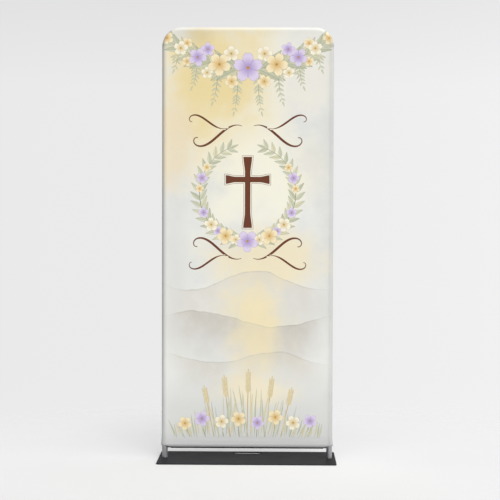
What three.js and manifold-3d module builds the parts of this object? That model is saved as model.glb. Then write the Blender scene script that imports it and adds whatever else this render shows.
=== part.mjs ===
// Church banner with stand: a knit sleeve stretched over a round tube frame on a flat steel foot.
// Units are millimetres. +Z is up, +X is to the viewer's right and the printed face looks along -Y.
// The origin is the centre of the foot plate's underside.
import * as THREE from 'three';
import { mergeVertices } from 'three/addons/utils/BufferGeometryUtils.js';
import Module from 'manifold-3d';

// Fit between pieces that touch.
const FIT_GAP = 0.3;

// Foot plate.
const PLATE_WIDTH = 940;
const PLATE_DEPTH = 400;
const PLATE_THICKNESS = 6;
const PLATE_CORNER_RADIUS = 16;
const PLATE_EDGE_BREAK = 0.8;
const PLATE_CORNER_STEPS = 6;
const SLOT_LENGTH = 158;
const SLOT_WIDTH = 46;
const SLOT_REAR_MARGIN = 20;

// Tube frame.
const TUBE_RADIUS = 15;
const TUBE_WALL = 1.5;
const TUBE_SIDES = 24;
const BEND_RADIUS = 85;
const BEND_STEPS = 6;
const SPIGOT_CLEARANCE = 0.3;
const SPIGOT_HEIGHT = 60;
const LOWER_RAIL_Z = 73;

// Knit sleeve.
const SLEEVE_WIDTH = 908;
const SLEEVE_TOP = 2289;
const CLOTH_THICKNESS = 1.5;
const CLOTH_INNER_RADIUS = TUBE_RADIUS + FIT_GAP;
const CLOTH_OUTER_RADIUS = CLOTH_INNER_RADIUS + CLOTH_THICKNESS;
const DISH_DEPTH = 4;
const DISH_REACH = 22;
const CORNER_FLARE = 3.5;
const FLARE_HEIGHT = 60;
const FLARE_REACH = 15;
const FACE_ROW_HEIGHTS = [95, 120, 160, 240, 400, 700, 1100, 1500, 1850, 2050, 2130];
const FACE_COLUMN_PLACES = [380, 330, 240, 120];

// Hem, notches for the legs and the zip under the lower rail.
const HEM_ANGLE = THREE.MathUtils.degToRad(34);
const HEM_STEPS = 3;
const NOTCH_EDGE_HEIGHT = 71.5;
const NOTCH_START = 406;
const NOTCH_END = 424;
const NOTCH_STEPS = 3;
const ZIP_HALF_LENGTH = 405;
const ZIP_TAPE_THICKNESS = 1.2;
const ZIP_CHAIN_HALF_ANGLE = THREE.MathUtils.degToRad(10);
const ZIP_CHAIN_THICKNESS = 2;
const ZIP_BACKING_GAP = 0.4;
const ZIP_ARC_STEPS = 5;

// Mesh making.
const WELD_TOLERANCE = 1e-4;
const CUTTER_LENGTH = 4 * TUBE_RADIUS;

// Derived positions.
const TUBE_X = SLEEVE_WIDTH / 2 - CLOTH_OUTER_RADIUS;
const TOP_RAIL_Z = SLEEVE_TOP - CLOTH_OUTER_RADIUS;
const BEND_X = TUBE_X - BEND_RADIUS;
const BEND_Z = TOP_RAIL_Z - BEND_RADIUS;
const LEG_FOOT_Z = PLATE_THICKNESS + FIT_GAP;
const QUARTER_TURN = Math.PI / 2;

const wasm = await Module();
wasm.setup();

// Materials.
const printedKnit = new THREE.MeshStandardMaterial({ color: 0xe9e2cc, roughness: 0.85, metalness: 0 });
const plainKnit = new THREE.MeshStandardMaterial({ color: 0xdedfdc, roughness: 0.85, metalness: 0 });
const aluminium = new THREE.MeshStandardMaterial({ color: 0x9a9b9d, roughness: 0.35, metalness: 1 });
const coatedSteel = new THREE.MeshStandardMaterial({ color: 0x3b3b3d, roughness: 0.45, metalness: 0 });
const zincSteel = new THREE.MeshStandardMaterial({ color: 0x8c8d90, roughness: 0.4, metalness: 1 });
const blackTape = new THREE.MeshStandardMaterial({ color: 0x1b1b1c, roughness: 0.8, metalness: 0 });
const blackPolymer = new THREE.MeshStandardMaterial({ color: 0x151516, roughness: 0.5, metalness: 0 });

const banner = new THREE.Group();

function addPiece(name, geometry, material) {
  const piece = new THREE.Mesh(geometry, material);
  piece.name = name;
  banner.add(piece);
  return piece;
}

// Keeps only positions, so that faces share their corners.
function weld(geometry) {
  geometry.deleteAttribute('normal');
  geometry.deleteAttribute('uv');
  return mergeVertices(geometry, WELD_TOLERANCE);
}

function toSolid(geometry) {
  const welded = weld(geometry);
  return new wasm.Manifold(new wasm.Mesh({
    numProp: 3,
    vertProperties: new Float32Array(welded.attributes.position.array),
    triVerts: new Uint32Array(welded.index.array),
  }));
}

function fromSolid(solid) {
  const mesh = solid.getMesh();
  const geometry = new THREE.BufferGeometry();
  geometry.setAttribute('position', new THREE.Float32BufferAttribute(mesh.vertProperties, 3));
  geometry.setIndex(new THREE.Uint32BufferAttribute(mesh.triVerts, 1));
  geometry.computeVertexNormals();
  return geometry;
}

// A circle as a closed polygon whose corners lie on the radius, with one corner on each axis.
function circlePoints(radius, sides = TUBE_SIDES) {
  const points = [];
  for (let i = 0; i < sides; i += 1) {
    const angle = (2 * Math.PI * i) / sides;
    points.push(new THREE.Vector2(radius * Math.cos(angle), radius * Math.sin(angle)));
  }
  return points;
}

function tubeSection(outerRadius, wall) {
  const section = new THREE.Shape(circlePoints(outerRadius));
  section.holes.push(new THREE.Path(circlePoints(outerRadius - wall).reverse()));
  return section;
}

// A straight tube that starts at the origin and runs up +Z.
function straightTube(length) {
  return new THREE.ExtrudeGeometry(tubeSection(TUBE_RADIUS, TUBE_WALL), {
    depth: length,
    bevelEnabled: false,
    steps: 1,
  });
}

// A quarter circle in the XZ plane about the origin, between two angles from +X towards +Z.
class BendArc extends THREE.Curve {
  constructor(radius, startAngle, endAngle) {
    super();
    this.radius = radius;
    this.startAngle = startAngle;
    this.endAngle = endAngle;
  }

  getPoint(t, target = new THREE.Vector3()) {
    const angle = THREE.MathUtils.lerp(this.startAngle, this.endAngle, t);
    return target.set(this.radius * Math.cos(angle), 0, this.radius * Math.sin(angle));
  }
}

function bentTube() {
  const endTrim = FIT_GAP / 2 / BEND_RADIUS;
  return new THREE.ExtrudeGeometry(tubeSection(TUBE_RADIUS, TUBE_WALL), {
    steps: BEND_STEPS,
    bevelEnabled: false,
    extrudePath: new BendArc(BEND_RADIUS, endTrim, QUARTER_TURN - endTrim),
  });
}

// A rectangle with round corners about the origin, from its half sizes.
function roundedOutline(halfX, halfY, radius) {
  const x = halfX - radius;
  const y = halfY - radius;
  const outline = new THREE.Shape();
  outline.moveTo(-x, -halfY);
  outline.lineTo(x, -halfY);
  outline.absarc(x, -y, radius, -QUARTER_TURN, 0, false);
  outline.lineTo(halfX, y);
  outline.absarc(x, y, radius, 0, QUARTER_TURN, false);
  outline.lineTo(-x, halfY);
  outline.absarc(-x, y, radius, QUARTER_TURN, 2 * QUARTER_TURN, false);
  outline.lineTo(-halfX, -y);
  outline.absarc(-x, -y, radius, 2 * QUARTER_TURN, 3 * QUARTER_TURN, false);
  return outline;
}

// Foot plate with rounded corners and a carry slot near the rear edge.
function footPlate() {
  const outline = roundedOutline(
    PLATE_WIDTH / 2 - PLATE_EDGE_BREAK,
    PLATE_DEPTH / 2 - PLATE_EDGE_BREAK,
    PLATE_CORNER_RADIUS - PLATE_EDGE_BREAK,
  );

  const slotRadius = SLOT_WIDTH / 2 + PLATE_EDGE_BREAK;
  const slotReach = (SLOT_LENGTH - SLOT_WIDTH) / 2;
  const slotY = PLATE_DEPTH / 2 - SLOT_REAR_MARGIN - SLOT_WIDTH / 2;
  const slot = new THREE.Path();
  slot.moveTo(-slotReach, slotY + slotRadius);
  slot.lineTo(slotReach, slotY + slotRadius);
  slot.absarc(slotReach, slotY, slotRadius, QUARTER_TURN, -QUARTER_TURN, true);
  slot.lineTo(-slotReach, slotY - slotRadius);
  slot.absarc(-slotReach, slotY, slotRadius, -QUARTER_TURN, -3 * QUARTER_TURN, true);
  outline.holes.push(slot);

  const plate = new THREE.ExtrudeGeometry(outline, {
    depth: PLATE_THICKNESS - 2 * PLATE_EDGE_BREAK,
    bevelEnabled: true,
    bevelThickness: PLATE_EDGE_BREAK,
    bevelSize: PLATE_EDGE_BREAK,
    bevelSegments: 1,
    curveSegments: PLATE_CORNER_STEPS,
  });
  plate.translate(0, 0, PLATE_EDGE_BREAK);
  return plate;
}

// How much of the hem's shape a place across the panel has: 1 at the hem, 0 at a leg's notch.
function hemShare(x) {
  return 1 - THREE.MathUtils.smoothstep(Math.abs(x), NOTCH_START, NOTCH_END);
}

// Extra width of the sleeve at its lower corners, where nothing pulls the edge in.
function flareAt(z) {
  const height = z - NOTCH_EDGE_HEIGHT;
  return CORNER_FLARE * (1 - THREE.MathUtils.smoothstep(height, 0, FLARE_HEIGHT));
}

// How far the face sinks behind the tubes, at three distances from the nearest tubes.
function dishAt(fromSide, fromTop, fromHem) {
  const share = (distance) => 1 - Math.exp(-Math.max(distance, 0) / DISH_REACH);
  return DISH_DEPTH * share(fromSide) * share(fromTop) * share(fromHem);
}

// Rows of the panel from the hem to the top rail. Each row has a centreline height, a half width
// and the direction that its outer edge wraps in.
function panelRows() {
  const rows = [];
  for (let k = 0; k <= HEM_STEPS; k += 1) {
    rows.push({ hemStep: k, z: LOWER_RAIL_Z, halfWidth: TUBE_X, wrap: 0 });
  }
  for (const z of FACE_ROW_HEIGHTS) {
    rows.push({ z, halfWidth: TUBE_X, wrap: 0 });
  }
  for (let k = 0; k <= BEND_STEPS; k += 1) {
    const wrap = QUARTER_TURN * (k / BEND_STEPS);
    rows.push({
      z: BEND_Z + BEND_RADIUS * Math.sin(wrap),
      halfWidth: BEND_X + BEND_RADIUS * Math.cos(wrap),
      wrap,
    });
  }
  return rows;
}

// Columns as shares of the half width, close together at the leg notches.
function panelColumns() {
  const half = [];
  for (let k = 0; k <= NOTCH_STEPS; k += 1) {
    half.push(THREE.MathUtils.lerp(NOTCH_END, NOTCH_START, k / NOTCH_STEPS) / TUBE_X);
  }
  half.push(...FACE_COLUMN_PLACES.map((x) => x / TUBE_X));
  return [-1, ...half.map((share) => -share), 0, ...half.slice().reverse(), 1];
}

// A point on the panel's face, at a distance from the frame's mid plane that grows with the radius.
function facePoint(row, share, radius) {
  let x = share * row.halfWidth;
  let z = row.z;
  let y = -radius;
  if (row.hemStep !== undefined) {
    const hem = hemShare(x);
    const rise = row.hemStep / HEM_STEPS;
    const angle = HEM_ANGLE * (1 - rise);
    const hemZ = LOWER_RAIL_Z - radius * Math.sin(angle);
    const notchZ = THREE.MathUtils.lerp(NOTCH_EDGE_HEIGHT, LOWER_RAIL_Z, rise);
    z = THREE.MathUtils.lerp(notchZ, hemZ, hem);
    y = -radius * Math.cos(angle * hem);
  } else {
    y += dishAt(row.halfWidth - Math.abs(x), TOP_RAIL_Z - z, z - LOWER_RAIL_Z);
  }
  x += Math.sign(x) * flareAt(z) * Math.exp(-(row.halfWidth - Math.abs(x)) / FLARE_REACH);
  return new THREE.Vector3(x, y, z);
}

// A point on the quarter round where the panel wraps the frame, from its face (0) to its seam (1).
function wrapPoint(row, share, turn, radius) {
  const seamTrim = FIT_GAP / 2 / radius;
  const angle = turn * (QUARTER_TURN - seamTrim);
  const start = facePoint(row, share, radius);
  start.y = -radius * Math.cos(angle);
  start.x += Math.sign(share) * radius * Math.sin(angle) * Math.cos(row.wrap);
  start.z += radius * Math.sin(angle) * Math.sin(row.wrap);
  return start;
}

// A point over the top rail, from the face (0) to the seam (1).
function topPoint(row, share, turn, radius) {
  const seamTrim = FIT_GAP / 2 / radius;
  const angle = turn * (QUARTER_TURN - seamTrim);
  const start = facePoint(row, share, radius);
  start.y = -radius * Math.cos(angle);
  start.z += radius * Math.sin(angle);
  return start;
}

// Joins grids of paired outer and inner points into one closed sheet. The open edges of the outer
// skin are walled to the inner skin.
function closedSheet(patches) {
  const positions = [];
  const lookup = new Map();
  const faces = [];

  function corner(outer, inner) {
    const key = outer.toArray().map((value) => value.toFixed(4)).join(' ');
    if (!lookup.has(key)) {
      lookup.set(key, positions.length / 3);
      positions.push(...outer.toArray(), ...inner.toArray());
    }
    return lookup.get(key);
  }

  for (const grid of patches) {
    const ids = grid.map((line) => line.map(([outer, inner]) => corner(outer, inner)));
    for (let i = 0; i + 1 < ids.length; i += 1) {
      for (let j = 0; j + 1 < ids[i].length; j += 1) {
        faces.push([ids[i][j], ids[i][j + 1], ids[i + 1][j + 1]]);
        faces.push([ids[i][j], ids[i + 1][j + 1], ids[i + 1][j]]);
      }
    }
  }

  const edges = new Set(faces.flatMap(([a, b, c]) => [`${a} ${b}`, `${b} ${c}`, `${c} ${a}`]));
  const index = [];
  for (const [a, b, c] of faces) {
    index.push(a, b, c);
    index.push(a + 1, c + 1, b + 1);
    for (const [from, to] of [[a, b], [b, c], [c, a]]) {
      if (!edges.has(`${to} ${from}`)) {
        index.push(from, from + 1, to + 1);
        index.push(from, to + 1, to);
      }
    }
  }

  const geometry = new THREE.BufferGeometry();
  geometry.setAttribute('position', new THREE.Float32BufferAttribute(positions, 3));
  geometry.setIndex(index);
  geometry.computeVertexNormals();
  return geometry;
}

// One half of the sleeve: its flat face and the quarter rounds to the seam at mid depth.
function sleevePanel() {
  const rows = panelRows();
  const columns = panelColumns();
  const pair = (point) => [point(CLOTH_OUTER_RADIUS), point(CLOTH_INNER_RADIUS)];
  const wrapSteps = TUBE_SIDES / 4;
  const turns = Array.from({ length: wrapSteps + 1 }, (_, i) => i / wrapSteps);
  const topRow = rows[rows.length - 1];

  const onFace = (row, share) => pair((radius) => facePoint(row, share, radius));
  const onWrap = (row, side, turn) => pair((radius) => wrapPoint(row, side, turn, radius));
  const onTop = (share, turn) => pair((radius) => topPoint(topRow, share, turn, radius));
  const face = rows.map((row) => columns.map((share) => onFace(row, share)));
  const right = rows.map((row) => turns.map((turn) => onWrap(row, 1, turn)));
  const left = rows.map((row) => turns.map((turn) => onWrap(row, -1, turn)).reverse());
  const top = turns.map((turn) => columns.map((share) => onTop(share, turn)));
  return closedSheet([face, right, left, top]);
}

// The same panel turned to the other side of the frame.
function mirroredToBack(geometry) {
  const copy = geometry.clone();
  copy.scale(1, -1, 1);
  const index = copy.index.array;
  for (let i = 0; i < index.length; i += 3) {
    const swap = index[i + 1];
    index[i + 1] = index[i + 2];
    index[i + 2] = swap;
  }
  copy.computeVertexNormals();
  return copy;
}

// A curved strip under the lower rail, between two angles measured from the front, down and round.
function railStrip(innerRadius, outerRadius, startAngle, endAngle, halfLength) {
  const outline = [];
  for (let i = 0; i <= ZIP_ARC_STEPS; i += 1) {
    const angle = THREE.MathUtils.lerp(startAngle, endAngle, i / ZIP_ARC_STEPS);
    outline.push(new THREE.Vector2(outerRadius * Math.cos(angle), -outerRadius * Math.sin(angle)));
  }
  for (let i = ZIP_ARC_STEPS; i >= 0; i -= 1) {
    const angle = THREE.MathUtils.lerp(startAngle, endAngle, i / ZIP_ARC_STEPS);
    outline.push(new THREE.Vector2(innerRadius * Math.cos(angle), -innerRadius * Math.sin(angle)));
  }
  const strip = new THREE.ExtrudeGeometry(new THREE.Shape(outline), {
    depth: 2 * halfLength,
    bevelEnabled: false,
  });
  const front = new THREE.Vector3(0, -1, 0);
  const up = new THREE.Vector3(0, 0, 1);
  strip.applyMatrix4(new THREE.Matrix4().makeBasis(front, up, front.clone().cross(up)));
  strip.translate(halfLength, 0, LOWER_RAIL_Z);
  return strip;
}

// Foot plate and the two hidden spigots that hold the legs.
addPiece('base_plate', footPlate(), coatedSteel);
for (const [side, sign] of [['left', -1], ['right', 1]]) {
  const spigotRadius = TUBE_RADIUS - TUBE_WALL - SPIGOT_CLEARANCE;
  const spigot = addPiece(
    `${side}_spigot`,
    new THREE.CylinderGeometry(spigotRadius, spigotRadius, SPIGOT_HEIGHT, TUBE_SIDES),
    zincSteel,
  );
  spigot.rotation.x = Math.PI / 2;
  spigot.position.set(sign * TUBE_X, 0, LEG_FOOT_Z + SPIGOT_HEIGHT / 2);
}

// Uprights, whose bare lower ends are the legs, and the bent top corners.
for (const [side, sign] of [['left', -1], ['right', 1]]) {
  const uprightTop = BEND_Z - FIT_GAP / 2;
  const upright = addPiece(`${side}_upright`, straightTube(uprightTop - LEG_FOOT_Z), aluminium);
  upright.position.set(sign * TUBE_X, 0, LEG_FOOT_Z);

  const bend = addPiece(`${side}_top_bend`, bentTube(), aluminium);
  bend.position.set(sign * BEND_X, 0, BEND_Z);
  bend.rotation.z = sign > 0 ? 0 : Math.PI;
}

// Top rail between the bends.
const topRail = addPiece('top_rail', straightTube(2 * BEND_X - FIT_GAP), aluminium);
topRail.rotation.y = Math.PI / 2;
topRail.position.set(-BEND_X + FIT_GAP / 2, 0, TOP_RAIL_Z);

// Lower rail, with both ends hollowed to sit against the round uprights.
const railBlank = straightTube(2 * TUBE_X);
railBlank.rotateY(Math.PI / 2);
railBlank.translate(-TUBE_X, 0, LOWER_RAIL_Z);
let railSolid = toSolid(railBlank);
for (const sign of [-1, 1]) {
  const clearance = new THREE.CylinderGeometry(
    TUBE_RADIUS + FIT_GAP,
    TUBE_RADIUS + FIT_GAP,
    CUTTER_LENGTH,
    2 * TUBE_SIDES,
  );
  clearance.rotateX(Math.PI / 2);
  clearance.translate(sign * TUBE_X, 0, LOWER_RAIL_Z);
  railSolid = railSolid.subtract(toSolid(clearance));
}
const [railMiddle] = railSolid.decompose().sort((a, b) => b.volume() - a.volume());
addPiece('lower_rail', fromSolid(railMiddle), aluminium);

// Sleeve: the printed front panel and the plain back panel.
const panel = sleevePanel();
addPiece('front_panel', panel, printedKnit);
addPiece('back_panel', mirroredToBack(panel), plainKnit);

// Zip under the lower rail.
const tapeInner = CLOTH_INNER_RADIUS + ZIP_BACKING_GAP;
const tapeOuter = tapeInner + ZIP_TAPE_THICKNESS;
const chainOuter = tapeInner + ZIP_CHAIN_THICKNESS;
const gapAngle = FIT_GAP / tapeInner;
const chainStart = QUARTER_TURN - ZIP_CHAIN_HALF_ANGLE;
const chainEnd = QUARTER_TURN + ZIP_CHAIN_HALF_ANGLE;
const tapeStart = HEM_ANGLE + gapAngle;
const tapeEnd = chainStart - gapAngle;
const frontTape = railStrip(tapeInner, tapeOuter, tapeStart, tapeEnd, ZIP_HALF_LENGTH);
const chain = railStrip(tapeInner, chainOuter, chainStart, chainEnd, ZIP_HALF_LENGTH);
const backTape = railStrip(tapeInner, tapeOuter, Math.PI - tapeEnd, Math.PI - tapeStart, ZIP_HALF_LENGTH);
addPiece('zip_tape_front', frontTape, blackTape);
addPiece('zip_chain', chain, blackPolymer);
addPiece('zip_tape_back', backTape, blackTape);

export default banner;
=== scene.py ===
"""A church banner with its stand: a printed knit sleeve on a round tube frame and a flat steel foot."""
import math

import bpy
import numpy as np
from mathutils import Matrix, Vector
from mathutils.geometry import tessellate_polygon


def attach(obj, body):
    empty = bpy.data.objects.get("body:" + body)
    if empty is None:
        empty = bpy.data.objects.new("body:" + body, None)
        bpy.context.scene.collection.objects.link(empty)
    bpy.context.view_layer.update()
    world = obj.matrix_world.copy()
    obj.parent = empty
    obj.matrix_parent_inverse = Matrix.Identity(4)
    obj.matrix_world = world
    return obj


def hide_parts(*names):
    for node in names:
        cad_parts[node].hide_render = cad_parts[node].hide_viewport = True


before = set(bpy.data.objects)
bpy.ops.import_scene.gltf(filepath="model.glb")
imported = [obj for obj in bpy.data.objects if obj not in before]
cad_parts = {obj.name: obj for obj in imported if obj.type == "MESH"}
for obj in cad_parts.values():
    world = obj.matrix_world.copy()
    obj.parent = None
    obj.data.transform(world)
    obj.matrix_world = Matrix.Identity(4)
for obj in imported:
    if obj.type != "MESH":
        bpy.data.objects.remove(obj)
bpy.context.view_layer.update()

# Sizes in metres, the same as the solids. Only the plate's edge is a little rounder here.
FIT_GAP = 0.0003
PLATE_WIDTH, PLATE_DEPTH, PLATE_THICKNESS = 0.940, 0.400, 0.006
PLATE_CORNER, PLATE_EDGE = 0.016, 0.0009
SLOT_LENGTH, SLOT_WIDTH, SLOT_MARGIN = 0.158, 0.046, 0.020
TUBE_RADIUS, TUBE_WALL, TUBE_CUT = 0.015, 0.0015, 0.0003
TUBE_INNER, TUBE_SIDES = TUBE_RADIUS - TUBE_WALL, 64
BEND_RADIUS = 0.085
SLEEVE_HALF_WIDTH, SLEEVE_TOP, CLOTH_THICKNESS = 0.454, 2.289, 0.0015
CLOTH_INNER = TUBE_RADIUS + FIT_GAP
CLOTH_OUTER = CLOTH_INNER + CLOTH_THICKNESS
TUBE_X = SLEEVE_HALF_WIDTH - CLOTH_OUTER
TOP_RAIL_Z = SLEEVE_TOP - CLOTH_OUTER
BEND_X = TUBE_X - BEND_RADIUS
BEND_Z = TOP_RAIL_Z - BEND_RADIUS
RAIL_Z = 0.0730
FOOT_Z = PLATE_THICKNESS + FIT_GAP
CORNER_STEPS = 10
TUBE_CREASE, STRIP_CREASE = 30, 40  # degrees above which an edge is drawn sharp

# Cloth shape.
DISH_DEPTH, DISH_REACH = 0.004, 0.022
CORNER_FLARE, FLARE_HEIGHT, FLARE_REACH = 0.0035, 0.060, 0.015
HEM_ANGLE = math.radians(34)
NOTCH_EDGE, NOTCH_START, NOTCH_END = 0.0715, 0.406, 0.424
RIPPLE_HEIGHT, RIPPLE_LENGTH, RIPPLE_FADE = 0.0009, 0.030, 0.040
SEAM_DIP, SEAM_WIDTH = 0.0006, 0.10

# Cloth mesh: rows are closer together near the hem, and columns beyond the even part.
FRONT_SPACING, BACK_SPACING = 0.0075, 0.016
HEM_STEPS, BEND_STEPS, WRAP_STEPS, NOTCH_STEPS = 6, 18, 10, 14
CLOSE_HEIGHT, CLOSE_SHARE = 0.15, 0.55
EVEN_HALF = 0.395

# Zip under the lower rail, and the stitches beside it.
ZIP_HALF = 0.405
ZIP_INNER = CLOTH_INNER + 0.0004
ZIP_TAPE = ZIP_INNER + 0.0012
ZIP_GAP = FIT_GAP / ZIP_INNER
CHAIN_HALF, COIL_HALF = math.radians(10), math.radians(9)
COIL_PITCH, COIL_CORD, COIL_BULGE, COIL_SLANT = 0.0015, 0.0005, 0.0006, 0.00025
STITCH_HALF, STITCH_PITCH, STITCH_REACH = 0.398, 0.0036, 0.0014
STITCH_THREAD, STITCH_SINK = 0.00028, 0.0004
COIL_LIFT, STITCH_LIFT = 0.0008, 0.0001
STITCH_ANGLE = HEM_ANGLE - 0.19

# Print.
PRINT_REACH = 9.0  # local coordinate of a face that no motif covers
STROKE_MARGIN = 0.008  # how far past its painted edge a stroke still owns the faces
SPOT_HEART = 0.15  # share of its reach over which a pool of paint is at full strength
PETALS, PETAL_STREAKS, EYE_SEEDS = 5.0, 35.0, 11.0
# Painted shade greys the cloth towards the hem, and a painted highlight pales it over the top rail.
HEM_PAINTED_SHADE, RAIL_PAINTED_HIGHLIGHT = (0.150, 0.075), (2.262, 2.284)  # heights between which each comes in

# Knit, tape and thread: spacing of their bands, and where painted shade darkens the knit along its side
# edges and its hem.
RIBS_APART, COURSES_APART, WEAVE_APART, TWIST_APART = 0.0024, 0.0030, 0.0012, 0.0008
SIDE_PAINTED_SHADE, UNDERTURN_PAINTED_SHADE = (0.422, 0.450), (0.084, 0.062)
KNIT_LOOK = {"IOR": 1.5, "Specular_IOR_Level": 0.2, "Sheen_Weight": 0.03}

# Light and camera.
SIDE_LIGHT = ((0.0, 0.03), (0.18, 0.15), (0.36, 0.455), (0.5, 0.487), (0.64, 0.53), (0.82, 0.60),
              (1.0, 0.48))
EVEN_LIGHT, FRONT_LIGHT = 2.0, 3.0
KEY_FROM, KEY_POWER, KEY_SPREAD = (0.25, -0.90, 0.52), 0.64, 35
CAMERA_AT = (0.150, -8.0, 1.352)
CAMERA_YAW, CAMERA_PITCH, CAMERA_ROLL = -0.0171, -0.0299, 0.003
CAMERA_LENS, CAMERA_SENSOR = 108.6, 36.0
FLOOR_RINGS, FLOOR_SIDES = (0.6, 1.2, 2.0, 3.0, 4.5, 6.5, 9.0), 72

VECTOR, MAP, BUMP = "ShaderNodeVectorMath", "ShaderNodeMapRange", "ShaderNodeBump"
APART, COORD, NOISE = "ShaderNodeSeparateXYZ", "ShaderNodeTexCoord", "ShaderNodeTexNoise"
SMOOTH = {"interpolation_type": "SMOOTHSTEP"}


def srgb(text):
    """An sRGB hex colour as the linear numbers that a shader wants."""
    parts = [int(text[i:i + 2], 16) / 255 for i in (1, 3, 5)]
    linear = [c / 12.92 if c <= 0.04045 else ((c + 0.055) / 1.055) ** 2.4 for c in parts]
    return (*linear, 1.0)


def add(tree, kind, *inputs, out=0, **settings):
    """Adds one node, sets its settings, and links or fills its inputs in order.

    A kind that is no node type is the operation of a math node.
    """
    if not kind.startswith("ShaderNode"):
        kind, settings["operation"] = "ShaderNodeMath", kind
    node = tree.nodes.new(kind)
    for name, value in settings.items():
        setattr(node, name, value)
    for socket, value in zip(node.inputs, inputs):
        if isinstance(value, bpy.types.NodeSocket):
            tree.links.new(value, socket)
        elif value is not None:
            socket.default_value = value
    return node.outputs[out]


def link(tree, node, **sockets):
    """Links sockets to the node's inputs of these names, with _ for a blank."""
    for name, socket in sockets.items():
        tree.links.new(socket, node.inputs[name.replace("_", " ")])


def finish_named(name, **sockets):
    """A new material, its node tree, its shader with its constants set, and the place on the object."""
    material = bpy.data.materials.new(name)
    material.use_nodes = True
    tree = material.node_tree
    shader = tree.nodes["Principled BSDF"]
    for socket, value in sockets.items():
        shader.inputs[socket.replace("_", " ")].default_value = value
    return material, tree, shader, add(tree, COORD, out=3)


def ramp(tree, factor, stops, how="LINEAR"):
    """Colour along a factor: stops are (place, hex colour) pairs."""
    socket = add(tree, "ShaderNodeValToRGB", factor)
    band = socket.node.color_ramp
    band.interpolation = how
    while len(band.elements) < len(stops):
        band.elements.new(0.5)
    for element, (place, colour) in zip(band.elements, stops):
        element.position = place
        element.color = srgb(colour)
    return socket


def curved(tree, value, points):
    """A value sent along a smooth curve through points."""
    socket = add(tree, "ShaderNodeFloatCurve", 1.0, value)
    curve = socket.node.mapping.curves[0]
    for x, y in points[1:-1]:
        curve.points.new(x, y)
    curve.points[0].location, curve.points[-1].location = points[0], points[-1]
    socket.node.mapping.update()
    return socket


def new_object(name, data):
    """A new object in the scene."""
    thing = bpy.data.objects.new(name, data)
    bpy.context.scene.collection.objects.link(thing)
    return thing


def make_piece(name, points, faces, finish, replaces=(), sharp=None):
    """A mesh piece in the row frame that rides on the banner's one body."""
    mesh = bpy.data.meshes.new(name)
    mesh.from_pydata([tuple(p) for p in points], [], [tuple(f) for f in faces])
    mesh.update()
    mesh.polygons.foreach_set("use_smooth", np.ones(len(mesh.polygons), bool))
    if sharp is not None:
        mesh.set_sharp_from_angle(angle=math.radians(sharp))
    mesh.materials.append(finish)
    piece = new_object(name, mesh)
    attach(piece, "root")
    if replaces:
        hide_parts(*replaces)
    return piece


def ease(value, low, high):
    """Smooth step from 0 at low to 1 at high."""
    t = np.clip((value - low) / (high - low), 0, 1)
    return t * t * (3 - 2 * t)


def cloth_rows(spacing):
    """Rows from the hem to the top rail: height, half width, wrap direction and rise over the hem."""
    rows = [(RAIL_Z, TUBE_X, 0.0, k / HEM_STEPS) for k in range(HEM_STEPS)]
    z = RAIL_Z
    while z < BEND_Z - spacing * 0.6:
        rows.append((z, TUBE_X, 0.0, 1.0))
        z += spacing * (CLOSE_SHARE if z < RAIL_Z + CLOSE_HEIGHT else 1)
    for k in range(BEND_STEPS + 1):
        wrap = math.radians(90 / BEND_STEPS * k)
        height = BEND_Z + BEND_RADIUS * math.sin(wrap)
        rows.append((height, BEND_X + BEND_RADIUS * math.cos(wrap), wrap, 1.0))
    return rows


def cloth_columns(spacing):
    """Columns as shares of the half width, closer together at the leg notches."""
    middle = int(round(2 * EVEN_HALF / spacing))
    inner = np.linspace(-EVEN_HALF, EVEN_HALF, middle + 1) / TUBE_X
    edge = np.linspace(EVEN_HALF / TUBE_X, 1, NOTCH_STEPS + 1)[1:]
    return np.concatenate([-edge[::-1], inner, edge])


def face_of_cloth(row, share, radius):
    """Points of one row of the flat face, at one skin's radius from the tubes' middle."""
    z0, half, wrap, rise = row
    share = np.asarray(share, float)
    x = share * half
    depth = np.full(x.shape, -radius)
    z = np.full(x.shape, z0)
    from_side = half - np.abs(x)
    if rise < 1:
        hem = 1 - ease(np.abs(x), NOTCH_START, NOTCH_END)
        angle = HEM_ANGLE * (1 - rise)
        notch_z = NOTCH_EDGE + (RAIL_Z - NOTCH_EDGE) * rise
        z = notch_z + (RAIL_Z - radius * math.sin(angle) - notch_z) * hem
        depth = -radius * np.cos(angle * hem)
    else:
        sink = DISH_DEPTH
        for distance in (from_side, TOP_RAIL_Z - z0, z0 - RAIL_Z):
            sink = sink * (1 - np.exp(-np.maximum(distance, 0) / DISH_REACH))
        above = z0 - RAIL_Z
        fade = math.exp(-above / RIPPLE_FADE) * float(ease(np.array(above), 0.004, 0.02))
        sway = 0.75 + 0.25 * np.cos(11 * x + 0.6) + 0.15 * np.sin(23 * x)
        drift = 0.25 * np.sin(5 * x)
        wave = np.sin(2 * math.pi * above / RIPPLE_LENGTH + drift)
        depth = depth + sink + RIPPLE_HEIGHT * fade * sway * wave * ease(from_side, 0.01, 0.06)
    flare = CORNER_FLARE * (1 - ease(z, NOTCH_EDGE, NOTCH_EDGE + FLARE_HEIGHT))
    x = x + np.sign(x) * flare * np.exp(-from_side / FLARE_REACH)
    return np.stack([x, depth, z], -1)


def wrap_of_cloth(row, share, turns, radius, over_top=False):
    """Points of the quarter round from the face (0) to the seam (1), which dips where it is sewn."""
    start = face_of_cloth(row, share, radius)
    turns = np.asarray(turns, float)
    dip = SEAM_DIP * ease(turns, 1 - SEAM_WIDTH, 1)
    reach = radius - dip
    angle = turns * (math.pi / 2 - FIT_GAP / 2 / radius)
    out, up = (0.0, 1.0) if over_top else (math.cos(row[2]), math.sin(row[2]))
    sign = np.sign(share)
    x = start[..., 0] + sign * reach * np.sin(angle) * out
    z = start[..., 2] + reach * np.sin(angle) * up
    return np.stack([x, -reach * np.cos(angle), z + 0 * x], -1)


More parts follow.
